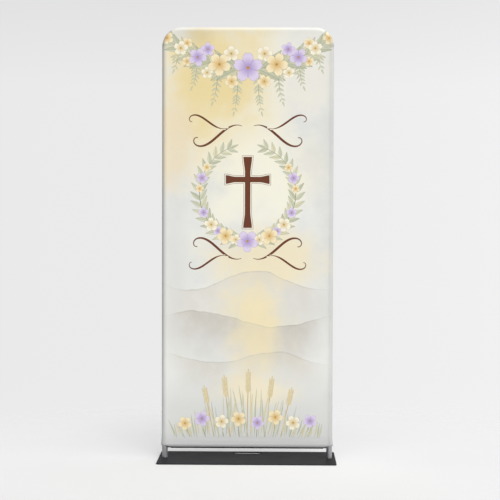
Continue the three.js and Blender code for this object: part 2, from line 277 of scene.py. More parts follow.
def sleeve_half(spacing):
    """One half of the sleeve as a closed sheet: its points, faces and how many are its outer skin."""
    rows, columns = cloth_rows(spacing), cloth_columns(spacing)
    turns = np.linspace(0, 1, WRAP_STEPS + 1)
    grids = []
    for radius in (CLOTH_OUTER, CLOTH_INNER):
        face = np.array([face_of_cloth(row, columns, radius) for row in rows])
        right = np.array([wrap_of_cloth(row, 0 * turns + 1, turns, radius) for row in rows])
        left = np.array([wrap_of_cloth(row, 0 * turns - 1, turns[::-1], radius) for row in rows])
        over = [wrap_of_cloth(rows[-1], columns, np.full(len(columns), t), radius, True) for t in turns]
        grids.append([face, right, left, np.array(over)])

    points, faces, lookup = [], [], {}
    for outer, inner in zip(*grids):
        ids = np.zeros(outer.shape[:2], int)
        for i in range(outer.shape[0]):
            for j in range(outer.shape[1]):
                key = tuple(np.round(outer[i, j], 6))
                if key not in lookup:
                    lookup[key] = len(points)
                    points.extend([outer[i, j], inner[i, j]])
                ids[i, j] = lookup[key]
        faces += zip(ids[:-1, :-1].flat, ids[:-1, 1:].flat, ids[1:, 1:].flat, ids[1:, :-1].flat)

    outer_count = len(faces)
    edges = {(f[k], f[(k + 1) % 4]) for f in faces for k in range(4)}
    inner_faces = [(a + 1, d + 1, c + 1, b + 1) for a, b, c, d in faces]
    walls = [(a, a + 1, b + 1, b) for a, b in sorted(edges) if (b, a) not in edges]
    return np.array(points), faces + inner_faces + walls, outer_count


SWAG_HUB, SWAG_RADIUS = 2.735, 0.665


def swag(x):
    """Height of the garland's main stem at a place across the banner."""
    return SWAG_HUB - math.sqrt(SWAG_RADIUS ** 2 - x ** 2)


def lean(x):
    """Direction of the garland's main stem there, as an angle."""
    return math.atan2(x, math.sqrt(SWAG_RADIUS ** 2 - x ** 2))


class Layout:
    """Where the printed blossoms, leaves and strokes go, each in a layer that is painted in turn."""

    def __init__(self):
        self.blossoms = {"blossom_back": [], "blossom_front": []}
        self.leaves = {"leaf_back": [], "leaf_front": []}
        self.strokes = []
        self.turn = np.random.default_rng(12)

    def blossom(self, x, z, size, tint, front=True):
        """A blossom, turned at random."""
        layer = "blossom_front" if front else "blossom_back"
        self.blossoms[layer].append((x, z, size, self.turn.uniform(0, 6.28), tint))

    def leaf(self, x, z, angle, length, width, tint, bend, front):
        """A leaf that grows from a point and bends to one side."""
        layer = "leaf_front" if front else "leaf_back"
        self.leaves[layer].append((x, z, angle, length, width / 2, bend, tint))

    def stroke(self, line, width, tint, taper):
        """A painted line through points; width swells in the middle and tapers to both ends."""
        self.strokes.append((np.array(line, float), width / 2, tint, taper))

    def sprig(self, x, z, angle, length, leaf_length, tint, curl):
        """A bent stalk with pairs of small leaves and one at its tip."""
        line = []
        for k in range(13):
            t = k / 12
            a = angle + curl * t
            mean = (angle + a) / 2
            line.append((x + length * t * math.cos(mean), z + length * t * math.sin(mean)))
        self.stroke(line, 0.0030, STEM, (1.0, 0.2))
        count = max(3, int(length / (leaf_length * 0.55)))
        for k in range(1, count + 1):
            t = k / (count + 0.5)
            i = min(11, int(t * 12))
            px, pz = line[i]
            a = angle + curl * t
            size = leaf_length * (1.05 - 0.55 * t)
            for side in (-1, 1):
                self.leaf(px, pz, a + side * 0.75, size, size * 0.36, tint, 0.12 * -side, False)
        px, pz = line[-1]
        self.leaf(px, pz, angle + curl, leaf_length * 0.7, leaf_length * 0.24, tint, 0, False)


LILAC, HONEY, CREAM = 0.1, 0.45, 0.8
SAGE, MOSS, STRAW, WHEAT = 0.1, 0.35, 0.6, 0.85
STEM, STALK, INK = 0.3, 0.55, 0.8


def garland(plan):
    """A crescent of blossoms and leaves across the top, largest at its middle, that runs over both rims."""
    plan.stroke([(x, swag(x)) for x in np.linspace(-0.44, 0.44, 57)], 0.0055, STEM, (0.5, 0.5))
    for x, size, tint in [(0.0, 0.084, LILAC), (0.151, 0.066, HONEY), (0.266, 0.052, LILAC),
                          (0.355, 0.041, CREAM), (0.428, 0.037, HONEY)]:
        for side in ((1,) if x == 0 else (-1, 1)):
            plan.blossom(side * x, swag(x) + 0.006, size, tint)
    for x, rise, size, tint in [(0.088, 0.074, 0.045, CREAM), (0.086, -0.072, 0.040, HONEY),
                                (0.212, 0.068, 0.040, LILAC), (0.216, -0.056, 0.034, CREAM),
                                (0.322, 0.052, 0.031, HONEY), (0.322, -0.044, 0.028, HONEY)]:
        for side in (-1, 1):
            plan.blossom(side * x, swag(x) + rise, size, tint, False)
    for k, x in enumerate(np.linspace(0.045, 0.425, 11)):
        for side in (-1, 1):
            heading = lean(x) if side > 0 else math.pi - lean(x)
            size = 0.150 - 0.15 * x
            for turn in (0.66, -0.66):
                plan.leaf(side * x, swag(x), heading + turn * (1 if k % 2 else 0.82), size, size * 0.32,
                          (SAGE, MOSS, MOSS, STRAW)[k % 4], 0.10 * -np.sign(turn), k % 2 == 0)
    for x, length, curl in [(0.060, 0.205, 0.35), (0.165, 0.170, 0.45),
                            (0.275, 0.130, 0.5), (0.375, 0.095, 0.5)]:
        for side in (-1, 1):
            down = -math.pi / 2 - side * 0.12
            plan.sprig(side * x, swag(x) - 0.02, down, length, 0.046, MOSS, side * curl)


WREATH_Z, WREATH_RADIUS = 1.415, 0.255


def on_wreath(degrees):
    """The place on the wreath's ring at an angle from +X."""
    a = math.radians(degrees)
    return WREATH_RADIUS * math.cos(a), WREATH_Z + WREATH_RADIUS * math.sin(a)


def wreath(plan):
    """A ring of leaves round the cross, open at the top, with blossoms gathered low and at its ends."""
    plan.stroke([on_wreath(degrees) for degrees in np.linspace(112, 428, 79)], 0.0055, STEM, (0.5, 0.5))
    steps = 17
    for side in (-1, 1):
        for k in range(steps):
            degrees = -90 + side * (8 + 147 * k / (steps - 1))
            heading = math.radians(degrees) + side * math.pi / 2
            size = 0.080 - 0.020 * k / steps
            for turn, front in ((0.72, True), (-0.72, False)):
                tint = (MOSS, SAGE, MOSS, STRAW)[(k + front) % 4]
                plan.leaf(*on_wreath(degrees), heading + turn, size, size * 0.36, tint,
                          -0.10 * np.sign(turn), (k + front) % 2)
        degrees = -90 + side * 158
        heading = math.radians(degrees) + side * math.pi / 2
        plan.leaf(*on_wreath(degrees), heading, 0.052, 0.016, SAGE, 0, True)
    for degrees, size, tint, front in [(0, 0.062, LILAC, True), (27, 0.050, HONEY, True),
                                       (49, 0.040, CREAM, True), (66, 0.031, LILAC, True),
                                       (14, 0.032, CREAM, False), (38, 0.028, LILAC, False),
                                       (108, 0.034, LILAC, True), (122, 0.025, HONEY, False),
                                       (95, 0.024, HONEY, False)]:
        for side in ((1,) if degrees == 0 else (-1, 1)):
            plan.blossom(*on_wreath(-90 + side * degrees), size, tint, front)


def scroll(x, z, heading, length, start_curl, end_curl):
    """A pen scroll: a line that runs out from a curl, straightens, and winds into another curl."""
    line = []
    steps = 72
    for k in range(steps + 1):
        line.append((x, z))
        t = k / steps
        heading += (end_curl * 6 * t ** 5 + start_curl * 6 * (1 - t) ** 5) / steps
        x += length / steps * math.cos(heading)
        z += length / steps * math.sin(heading)
    return np.array(line)


def flourishes(plan):
    """Brown pen scrolls above and below the wreath, in mirrored pairs."""
    for z, up in ((1.768, 1), (1.070, -1)):
        for side in (-1, 1):
            flip = (side, up)
            origin = np.array([0, z])
            long_line = scroll(0.030, 0.0, 0.55, 0.34, -1.3, 4.4)
            short_line = scroll(0.115, -0.012, -0.35, 0.25, 1.0, -4.2)
            plan.stroke(origin + long_line * flip, 0.0130, INK, (0.25, 0.35))
            plan.stroke(origin + short_line * flip, 0.0105, INK, (0.25, 0.35))


def meadow(plan):
    """Grasses, ears of wheat and small flowers that rise from the lower middle."""
    pick = np.random.default_rng(5)
    count = 58
    for k in range(count):
        x = -0.39 + 0.78 * (k + pick.uniform(0, 0.8)) / count
        tall = 0.19 * math.exp(-(x / 0.2) ** 2) + pick.uniform(0.05, 0.11)
        tilt = math.pi / 2 - x + pick.uniform(-0.22, 0.22)
        plan.leaf(x, 0.118 + pick.uniform(-0.008, 0.012), tilt, tall, 0.0095,
                  (SAGE, MOSS, WHEAT, STRAW)[k % 4], pick.uniform(-0.12, 0.12), k % 2)
    for x, height, tilt in [(-0.175, 0.245, 0.20), (-0.090, 0.300, 0.10), (0.0, 0.330, -0.02),
                            (0.095, 0.295, -0.12), (0.18, 0.24, -0.22)]:
        a = math.pi / 2 + tilt
        base = np.array([x, 0.120])
        tip = base + height * np.array([math.cos(a), math.sin(a)])
        plan.stroke([base + (tip - base) * t for t in np.linspace(0, 1, 9)], 0.0042, STALK, (1.0, 0.6))
        for k in range(7):
            at = base + (tip - base) * (0.70 + 0.30 * k / 7)
            for side in (-1, 1):
                plan.leaf(*at, a + side * 0.42, 0.034, 0.0125, WHEAT, 0.1 * -side, k % 2)
        plan.leaf(*tip, a, 0.034, 0.012, WHEAT, 0, True)
    for x, z, size, tint in [(-0.330, 0.190, 0.040, HONEY), (-0.240, 0.215, 0.046, LILAC),
                             (-0.135, 0.200, 0.040, CREAM), (-0.045, 0.215, 0.044, HONEY),
                             (0.055, 0.195, 0.040, LILAC), (0.150, 0.225, 0.045, HONEY),
                             (0.245, 0.195, 0.042, CREAM), (0.335, 0.205, 0.040, LILAC)]:
        plan.stroke([(x * 0.92, 0.12), (x * 0.97, 0.16), (x, z)], 0.0038, STEM, (1.0, 0.6))
        plan.blossom(x, z, size, tint)


def print_plan():
    """The whole layout, painted in this order."""
    plan = Layout()
    for part in (garland, wreath, flourishes, meadow):
        part(plan)
    return plan


def write_motif(mesh, name, values):
    """Stores a motif's local coordinates at each face corner."""
    held = mesh.attributes.new(name, "FLOAT_VECTOR", "CORNER")
    held.data.foreach_set("vector", np.asarray(values, np.float32).ravel())


def lay_print(piece, outer_count, plan):
    """Gives every face of the outer skin its nearest motif of each layer, as local coordinates.

    The coordinates are exact at the corners, so the painted edge is as fine as the shader, not the mesh.
    """
    mesh = piece.data
    points = np.zeros(len(mesh.vertices) * 3)
    mesh.vertices.foreach_get("co", points)
    points = points.reshape(-1, 3)[:, [0, 2]]
    loops = np.zeros(len(mesh.loops), int)
    mesh.loops.foreach_get("vertex_index", loops)
    face_of_loop = np.repeat(np.arange(len(mesh.polygons)), [p.loop_total for p in mesh.polygons])
    first = np.array([p.loop_start for p in mesh.polygons])[:outer_count]
    centre = np.mean([points[loops[first + k]] for k in range(4)], axis=0)
    corner = points[loops]
    skin = face_of_loop < outer_count
    owner_face = np.minimum(face_of_loop, outer_count - 1)

    def local(at, x, z, angle):
        dx, dz = at[..., 0] - x, at[..., 1] - z
        return dx * np.cos(angle) + dz * np.sin(angle), dz * np.cos(angle) - dx * np.sin(angle)

    for name, items in plan.blossoms.items():
        x, z, size, turn, tint = np.array(items).T
        u, v = local(centre[:, None, :], x, z, 0 * x)
        own = np.argmin(np.hypot(u, v) / size, axis=1)[owner_face]
        u, v = local(corner, x[own], z[own], turn[own])
        values = np.stack([u / size[own], v / size[own], tint[own]], -1)
        values[~skin] = (PRINT_REACH, PRINT_REACH, 0)
        write_motif(mesh, name, values)

    def in_leaf(at, x, z, angle, length, half, bend, tint):
        u, v = local(at, x, z, angle)
        a = u / length
        return a, (v - bend * length * a * (1 - a)) / half, tint

    for name, items in plan.leaves.items():
        items = np.array(items)
        a, c, _ = in_leaf(centre[:, None, :], *items.T)
        inner = np.clip(a, 0, 1)
        inside = np.abs(c) - 4 * inner * (1 - inner) * (1.3 - 0.6 * inner)
        away = np.maximum(np.maximum(-a, a - 1), 0) * items[:, 3] / items[:, 4]
        own = np.argmin(inside + 3 * away, axis=1)[owner_face]
        values = np.stack(in_leaf(corner, *items[own].T), -1)
        values[~skin] = (PRINT_REACH, PRINT_REACH, 0)
        write_motif(mesh, name, values)

    best = np.full(outer_count, np.inf)
    values = np.tile((PRINT_REACH, 0.0, 0.0), (len(loops), 1))
    for line, half, tint, (start, end) in plan.strokes:
        reach = half + STROKE_MARGIN
        near = (centre > line.min(0) - reach) & (centre < line.max(0) + reach)
        index = np.flatnonzero(near.all(axis=1))
        gap = np.abs(beside(line, centre[index])[0])
        wins = (gap < best[index]) & (gap < reach)
        index = index[wins]
        best[index] = gap[wins]
        mine = np.flatnonzero(skin & np.isin(face_of_loop, index))
        off, along, past = beside(line, corner[mine])
        swell = start + (1 - start) * ease(along, 0, 0.35)
        swell = swell * (end + (1 - end) * (1 - ease(along, 0.55, 1.0))) - past / half
        values[mine] = np.stack([off / half, swell, np.full(len(mine), tint)], -1)
    write_motif(mesh, "stroke", values)


def beside(line, at):
    """How far each point is to the left of a polyline, how far along it, and how far past its ends."""
    a, d = line[:-1], np.diff(line, axis=0)
    steps = np.maximum(np.linalg.norm(d, axis=1), 1e-9)
    run = ((at[:, None] - a) * d).sum(2) / steps
    held = np.clip(run, 0, steps)
    foot = a + (held / steps)[..., None] * d
    gap = np.linalg.norm(at[:, None] - foot, axis=2)
    pick = gap.argmin(1) if len(at) else np.zeros(0, int)
    rows = np.arange(len(at))
    away = at - a[pick]
    left = (d[pick, 0] * away[:, 1] - d[pick, 1] * away[:, 0]) / steps[pick]
    ends = (pick == 0) & (run[rows, pick] < 0) | (pick == len(a) - 1) & (run[rows, pick] > steps[-1])
    past = np.where(ends, np.abs(run[rows, pick] - held[rows, pick]), 0)
    off = np.where(ends, left, np.sign(left) * gap[rows, pick])
    before = np.concatenate([[0], np.cumsum(steps)])
    along = (before[pick] + held[rows, pick]) / before[-1]
    return off, along, past


def lay_over(tree, under, over, cover):
    """One colour over another, by a cover from 0 to 1. Each is a socket or a hex colour."""
    colours = [srgb(c) if isinstance(c, str) else c for c in (under, over)]
    other_types = [None] * 5
    return add(tree, "ShaderNodeMix", cover, *other_types, *colours, data_type="RGBA", clamp_factor=True,
               out=2)


def mark_over(tree, colour, *marks):
    """Lays marks over a colour: each has its shade, a value, and how the value maps to its cover."""
    for shade, value, *band in marks:
        colour = lay_over(tree, colour, shade, add(tree, MAP, value, *band))
    return colour


def motif(tree, layer):
    """The three local coordinates of a layer's motif."""
    return add(tree, APART, add(tree, "ShaderNodeAttribute", attribute_name=layer, out=1)).node.outputs


def bands(tree, place, apart, warp, scale, **settings):
    """Waves whose crests lie a real distance apart."""
    return add(tree, "ShaderNodeTexWave", place, 2 * math.pi / 20 / apart, warp, 2.0, scale, **settings)


def soft_spot(tree, place, x, z, reach_x, reach_z, wobble):
    """How much of a soft oval of paint is at a place: 1 in its middle, 0 past its reach."""
    away = add(tree, VECTOR, place, (x, 0, z), operation="SUBTRACT")
    away = add(tree, VECTOR, away, (reach_x, 1, reach_z), operation="DIVIDE")
    away = add(tree, VECTOR, away, operation="LENGTH", out=1)
    away = add(tree, "ADD", away, wobble)
    return add(tree, MAP, away, 1.0, SPOT_HEART, interpolation_type="SMOOTHERSTEP")


def wash(tree, place):
    """Water-colour ground of the print: cool grey paper under soft pools of cream, honey and beige.

    It greys towards the hem: painted shade where the cloth turns under the lower rail. Over the top rail it
    pales: a painted highlight where the cloth rounds over the rail.
    """
    cloud = add(tree, NOISE, place, None, 3.2, 5.0, 0.6)
    wobble = add(tree, MAP, cloud, 0.3, 0.7, -0.30, 0.30)
    colour = mark_over(tree, "#e7e8e4", ("#dddeda", cloud, 0.42, 0.62))
    for *spot, shade, strength in [
        (0.00, 0.20, 1.20, 0.32, "#d2d3d0", 0.7),
        (-0.12, 1.90, 0.58, 0.75, "#efe9d2", 1.0),
        (-0.20, 2.02, 0.42, 0.55, "#e8d59e", 0.95),
        (-0.44, 1.66, 0.24, 0.46, "#e7d9bb", 0.85),
        (0.30, 2.05, 0.30, 0.40, "#e9e6db", 0.75),
        (0.04, 1.45, 0.36, 0.40, "#f2efdd", 0.85),
        (0.34, 1.55, 0.16, 0.30, "#ece2c6", 0.25),
        (0.10, 1.06, 0.52, 0.26, "#ecdfbc", 0.85),
        (0.06, 0.72, 0.30, 0.36, "#f0e0b0", 0.85),
        (0.06, 0.36, 0.34, 0.14, "#f0e4c4", 0.8),
        (-0.42, 0.98, 0.16, 0.60, "#dadad6", 0.8),
        (-0.27, 2.25, 0.15, 0.10, "#d8c89c", 0.7),
    ]:
        spot = soft_spot(tree, place, *spot, wobble)
        colour = lay_over(tree, colour, shade, add(tree, "MULTIPLY", spot, strength))
    height = add(tree, APART, place, out=2)
    # Painted shade: grey towards the hem. Painted highlight: near-white over the top rail.
    for band, shade, strength in ((HEM_PAINTED_SHADE, "#cdcecd", 0.85), (RAIL_PAINTED_HIGHLIGHT, "#fdfcf7", 0.35)):
        cover = add(tree, MAP, height, *band, 0.0, strength, **SMOOTH)
        colour = lay_over(tree, colour, shade, cover)
    return colour, wobble


def hills(tree, place, colour, wobble):
    """Three soft hill lines in stone grey, each with the darker rim that wet paint leaves."""
    across, _, height = add(tree, APART, place).node.outputs
    pigment = add(tree, NOISE, place, None, 9.0, 7.0, 0.65)
    pigment = add(tree, MAP, pigment, 0.35, 0.65, 0.62, 1.15)
    for crest, swell, pace, start, shade, strength, fade in [
        (0.955, 0.050, 9.0, 1.2, "#d5d0c6", 0.65, 0.42),
        (0.750, 0.045, 7.0, 3.6, "#c4beb5", 0.75, 0.34),
        (0.545, 0.030, 10.0, 0.2, "#cec8bb", 0.60, 0.22),
    ]:
        line = add(tree, "SINE", add(tree, "MULTIPLY_ADD", across, pace, start))
        line = add(tree, "MULTIPLY_ADD", line, swell, crest)
        under = add(tree, "SUBTRACT", line, height)
        under = add(tree, "MULTIPLY_ADD", wobble, 0.045, under)
        edge = add(tree, MAP, under, 0.0, 0.006, **SMOOTH)
        depth = add(tree, MAP, under, 0.0, fade, 1.0, 0.0, **SMOOTH)
        side = add(tree, MAP, add(tree, "ABSOLUTE", across), 0.44, 0.28, 0.15, 1.0, **SMOOTH)
        glow = soft_spot(tree, place, 0.05, crest - 0.10, 0.26, 0.20, wobble)
        side = add(tree, "MULTIPLY", side, add(tree, MAP, glow, 0.0, 1.0, 1.0, 0.35))
        cover = edge
        for share in (depth, side, pigment):
            cover = add(tree, "MULTIPLY", cover, share)
        cover = add(tree, "MULTIPLY", cover, strength, use_clamp=True)
        colour = lay_over(tree, colour, shade, cover)
        rim = add(tree, "MULTIPLY", add(tree, MAP, under, 0.0, 0.010, 1.0, 0.0), cover)
        colour = lay_over(tree, colour, "#8f8478", add(tree, "MULTIPLY", rim, 0.75))
    return colour


def strokes(tree, colour, grain):
    """Stems and brown pen scrolls. The coordinate is how far off its line a place is, in half widths."""
    off, swell, tint = motif(tree, "stroke")
    inside = add(tree, "SUBTRACT", swell, add(tree, "ABSOLUTE", off))
    inside = add(tree, "MULTIPLY_ADD", grain, 0.18, inside)
    ink = ramp(tree, tint, [(0.0, "#9b9d7e"), (0.5, "#c2a570"), (0.7, "#6b3f2c")], "CONSTANT")
    return mark_over(tree, colour, (ink, inside, -0.10, 0.15))


def leaves(tree, colour, layer, grain):
    """Painted leaves: blunt base, pointed tip, a midrib, faint side veins and a fine dark outline."""
    along, across, tint = motif(tree, layer)
    half = curved(tree, along, ((0.0, 0.0), (0.12, 0.52), (0.36, 0.98), (0.72, 0.62), (1.0, 0.0)))
    off = add(tree, "ABSOLUTE", across)
    inside = add(tree, "SUBTRACT", half, off)
    within = add(tree, "LESS_THAN", add(tree, "ABSOLUTE", add(tree, "SUBTRACT", along, 0.5)), 0.5)
    cover = add(tree, "MULTIPLY", add(tree, MAP, inside, 0.0, 0.14), within)
    greens = [(0.0, "#b0b597"), (0.3, "#bfc2a5"), (0.5, "#cfcca8"), (0.75, "#ddc894")]
    veins = add(tree, "MULTIPLY_ADD", along, 9.0, add(tree, "MULTIPLY", off, -2.2))
    veins = add(tree, "PINGPONG", veins, 1.0)
    body = mark_over(tree, ramp(tree, tint, greens, "CONSTANT"), ("#f0edd8", across, -0.8, 0.8, 0.0, 0.45),
                     ("#8b8f72", veins, 0.0, 0.22, 0.26, 0.0), ("#83876a", off, 0.03, 0.09, 0.65, 0.0),
                     ("#736e5a", inside, 0.06, 0.18, 0.80, 0.0))
    cover = add(tree, "MULTIPLY", cover, add(tree, MAP, grain, -0.5, 0.5, 0.84, 1.0))
    return lay_over(tree, colour, body, cover)


def blossoms(tree, colour, layer, grain):
    """Painted five-petal blossoms: deeper at the heart, streaked petals, a seeded eye and a fine outline."""
    u, v, tint = motif(tree, layer)
    flat = add(tree, "ShaderNodeCombineXYZ", u, v, 0.0)
    out = add(tree, VECTOR, flat, operation="LENGTH", out=1)
    angle = add(tree, "ARCTAN2", v, u)
    beat, streak, seeds = (
        add(tree, kind, add(tree, "MULTIPLY", angle, count))
        for kind, count in (("COSINE", PETALS), ("SINE", PETAL_STREAKS), ("SINE", EYE_SEEDS)))
    round_off = add(tree, "POWER", add(tree, MAP, beat, -1.0, 1.0), 0.42)
    reach = add(tree, "MULTIPLY_ADD", round_off, 0.40, 0.58)
    nick = add(tree, MAP, beat, 0.93, 1.0, 0.0, 0.07, **SMOOTH)
    reach = add(tree, "SUBTRACT", reach, nick)
    inside = add(tree, "SUBTRACT", reach, out)
    cover = add(tree, MAP, inside, 0.0, 0.035)
    edge, heart = (ramp(tree, tint, list(zip((0.0, 0.3, 0.65), shades)), "CONSTANT") for shades in (
        ("#ddd1e8", "#f3e5c0", "#f6f0dc"), ("#aa95ca", "#d8b574", "#d8c28c")))
    petal = mark_over(tree, heart, (edge, out, 0.08, 0.66))
    streak = add(tree, "MULTIPLY", streak, add(tree, MAP, out, 0.2, 0.8, 0.28, 0.05))
    petal = lay_over(tree, petal, heart, add(tree, "ADD", streak, grain))
    eye = add(tree, "SUBTRACT", add(tree, "MULTIPLY_ADD", seeds, 0.030, 0.13), out)
    petal = mark_over(tree, petal, (heart, beat, -0.995, -0.90, 0.65, 0.0),
                      ("#7d6c66", inside, 0.015, 0.050, 0.80, 0.0), ("#c79d55", eye, 0.0, 0.03, 0.0, 0.90),
                      ("#8b6a3c", out, 0.03, 0.065, 0.80, 0.0))
    return lay_over(tree, colour, petal, cover)


CROSS_Z, CROSS_HALF_HEIGHT = 1.418, 0.188
CROSS_ARM_Z, CROSS_HALF_ARM = 1.486, 0.116
CROSS_HALF_STROKE = 0.0145


def cross(tree, place, colour, grain):
    """A plain Latin cross in brown ink, its four ends flared, with a fine ruled line round it."""
    across, _, height = add(tree, APART, place).node.outputs
    across = add(tree, "ABSOLUTE", across)
    bars = []
    for level, reach, upright in ((CROSS_Z, CROSS_HALF_HEIGHT, True), (CROSS_ARM_Z, CROSS_HALF_ARM, False)):
        off = add(tree, "ABSOLUTE", add(tree, "SUBTRACT", height, level))
        long_way, short_way = (off, across) if upright else (across, off)
        flare = add(tree, MAP, long_way, reach * 0.55, reach, 0.0, 0.0085, **SMOOTH)
        thin = add(tree, "SUBTRACT", short_way, flare)
        thin = add(tree, "SUBTRACT", thin, CROSS_HALF_STROKE)
        over = add(tree, "SUBTRACT", long_way, reach)
        bars.append(add(tree, "MAXIMUM", thin, over))
    off = add(tree, "SMOOTH_MIN", *bars, 0.004)
    off = add(tree, "MULTIPLY_ADD", grain, 0.0012, off)
    colour = mark_over(tree, colour, ("#6b3f2c", off, 0.0008, -0.0008))
    ruled = add(tree, "ABSOLUTE", add(tree, "SUBTRACT", off, 0.0062))
    return mark_over(tree, colour, ("#8a6248", ruled, 0.0006, 0.0018, 0.85, 0.0))


def knit(tree, shader, place, colour):
    """Warp-knit polyester: fine ribs, a slight sheen and a soft mottle, laid over a colour.

    The real ribs are 0.6 mm apart. They are drawn 2.4 mm apart so that they still show close up.
    Two soft grey bands are painted shade: one along each side edge, where the cloth rounds away over the
    tube, and one low on the hem, where it turns under the lower rail.
    """
    across, _, height = add(tree, APART, place).node.outputs
    # Painted shade: grey along each side edge, where the cloth rounds over the tube.
    edge_shade = add(tree, MAP, add(tree, "ABSOLUTE", across), *SIDE_PAINTED_SHADE, 0.0, 0.38, **SMOOTH)
    colour = lay_over(tree, colour, "#8f9092", edge_shade)
    # Painted shade: dark grey low on the hem, where the cloth turns under the lower rail.
    colour = mark_over(tree, colour, ("#3a3a3c", height, *UNDERTURN_PAINTED_SHADE, 0.0, 0.55))
    ribs = bands(tree, place, RIBS_APART, 0.6, 1.5, bands_direction="X")
    courses = bands(tree, place, COURSES_APART, 0.4, 1.5, bands_direction="Z", out=1)
    fuzz = add(tree, NOISE, place, None, 700.0, 2.0, 0.6)
    loops = add(tree, "ADD", add(tree, "ADD", ribs, courses), fuzz)
    tinted = add(tree, VECTOR, colour, operation="SCALE")
    link(tree, tinted.node, Scale=add(tree, MAP, loops, 0.6, 2.4, 0.97, 1.02))
    link(tree, shader, Base_Color=tinted, Normal=add(tree, BUMP, 0.16, 0.0006, None, loops),
         Roughness=add(tree, MAP, fuzz, 0.3, 0.7, 0.80, 0.92))


def printed_knit():
    """Dye-printed warp-knit polyester: matt, with water-colour flowers, a cross and soft washes."""
    material, tree, shader, place = finish_named("dye_printed_polyester_knit", **KNIT_LOOK)
    grain = add(tree, NOISE, place, None, 160.0, 3.0, 0.6)
    grain = add(tree, "SUBTRACT", grain, 0.5)
    colour, wobble = wash(tree, place)
    colour = hills(tree, place, colour, wobble)
    colour = strokes(tree, colour, grain)
    for layer in ("leaf_back", "leaf_front"):
        colour = leaves(tree, colour, layer, grain)
    for layer in ("blossom_back", "blossom_front"):
        colour = blossoms(tree, colour, layer, grain)
    colour = cross(tree, place, colour, grain)
    knit(tree, shader, place, colour)
    return material


def plain_knit():
    """The same warp-knit polyester without its print: pale cool grey with a faint mottle."""
    material, tree, shader, place = finish_named("plain_polyester_knit", **KNIT_LOOK)
    cloud = add(tree, NOISE, place, None, 3.0, 3.0, 0.5)
    knit(tree, shader, place, ramp(tree, cloud, [(0.35, "#dadbd8"), (0.65, "#e2e2df")]))
    return material


def anodised_aluminium():
    """Extruded tube, satin anodised: fine lines along the uprights and an even grey sheen."""
    material, tree, shader, place = finish_named("satin_anodised_aluminium", Metallic=1.0)
    drawn = add(tree, VECTOR, place, (900.0, 900.0, 6.0), operation="MULTIPLY")
    lines = add(tree, NOISE, drawn, None, 1.0, 3.0, 0.6)
    link(tree, shader, Base_Color=ramp(tree, lines, [(0.3, "#a0a1a3"), (0.7, "#b2b3b5")]),
         Roughness=add(tree, MAP, lines, 0.3, 0.7, 0.52, 0.64),
         Normal=add(tree, BUMP, 0.08, 0.0002, None, lines))
    return material


def powder_coated_steel():
    """Flame-cut steel plate, powder coated: dark grey, fine orange peel, nearly matt."""
    material, tree, shader, place = finish_named("powder_coated_steel", IOR=1.5, Specular_IOR_Level=0.002)
    peel = add(tree, NOISE, place, None, 420.0, 2.0, 0.5)
    smudge = add(tree, NOISE, place, None, 9.0, 4.0, 0.6)
    colour = ramp(tree, smudge, [(0.3, "#333335"), (0.7, "#38383a")])
    speck = add(tree, MAP, peel, 0.62, 0.72, 0.0, 0.25)
    link(tree, shader, Base_Color=lay_over(tree, colour, "#414144", speck),
         Roughness=add(tree, MAP, smudge, 0.3, 0.7, 0.30, 0.42),
         Normal=add(tree, BUMP, 0.10, 0.0004, None, peel))
    return material


def zinc_plated_steel():
    """Turned steel, zinc plated: a dull grey metal with soft patches."""
    material, tree, shader, place = finish_named("zinc_plated_steel", Metallic=1.0)
    patch = add(tree, NOISE, place, None, 90.0, 3.0, 0.6)
    link(tree, shader, Base_Color=ramp(tree, patch, [(0.3, "#8f9194"), (0.7, "#a6a8aa")]),
         Roughness=add(tree, MAP, patch, 0.3, 0.7, 0.32, 0.5))
    return material


def woven_tape():
    """Woven polyester zip tape: black, with a fine slanting weave, quite matt."""
    material, tree, shader, place = finish_named("woven_zip_tape", IOR=1.5, Sheen_Weight=0.1)
    weave = bands(tree, place, WEAVE_APART, 0.0, 1.0, bands_direction="DIAGONAL")
    link(tree, shader, Base_Color=ramp(tree, weave, [(0.2, "#161617"), (0.8, "#242426")]),
         Roughness=add(tree, MAP, weave, 0.0, 1.0, 0.75, 0.9),
         Normal=add(tree, BUMP, 0.3, 0.0003, None, weave))
    return material


def moulded_nylon():
    """Nylon coil of the zip: black, with a slight gloss."""
    material, tree, shader, place = finish_named("nylon_zip_coil", IOR=1.53)
    haze = add(tree, NOISE, place, None, 300.0, 2.0, 0.5)
    link(tree, shader, Base_Color=ramp(tree, haze, [(0.3, "#141415"), (0.7, "#1e1e20")]),
         Roughness=add(tree, MAP, haze, 0.3, 0.7, 0.38, 0.5))
    return material


def sewing_thread():
    """Spun polyester thread in the cloth's own pale grey, twisted and matt."""
    material, tree, shader, place = finish_named("spun_polyester_thread", IOR=1.5)
    twist = bands(tree, place, TWIST_APART, 0.0, 1.0, bands_direction="DIAGONAL")
    link(tree, shader, Base_Color=ramp(tree, twist, [(0.2, "#c4c4c1"), (0.8, "#dcdcd9")]),
         Roughness=add(tree, MAP, twist, 0.0, 1.0, 0.7, 0.85))
    return material


def ring_of(radius, count):
    """A circle's points as (across, up) pairs."""
    turns = [2 * math.pi * k / count for k in range(count)]
    return [(radius * math.cos(turn), radius * math.sin(turn)) for turn in turns]


def band_faces(a, b, count, flip=False):
    """Faces between two rings of points, the first of which are a and b."""
    faces = []
    for k in range(count):
        m = (k + 1) % count
        faces.append((a + k, b + k, b + m, a + m) if flip else (a + k, a + m, b + m, b + k))
    return faces


def lathe_tube(profile, place):
    """A closed round tube: profile gives (radius, distance along) and place turns them into points."""
    points, faces = [], []
    for i, (radius, along) in enumerate(profile):
        points += [place(a, b, along) for a, b in ring_of(radius, TUBE_SIDES)]
        faces += band_faces(i * TUBE_SIDES, (i + 1) % len(profile) * TUBE_SIDES, TUBE_SIDES)
    return points, faces


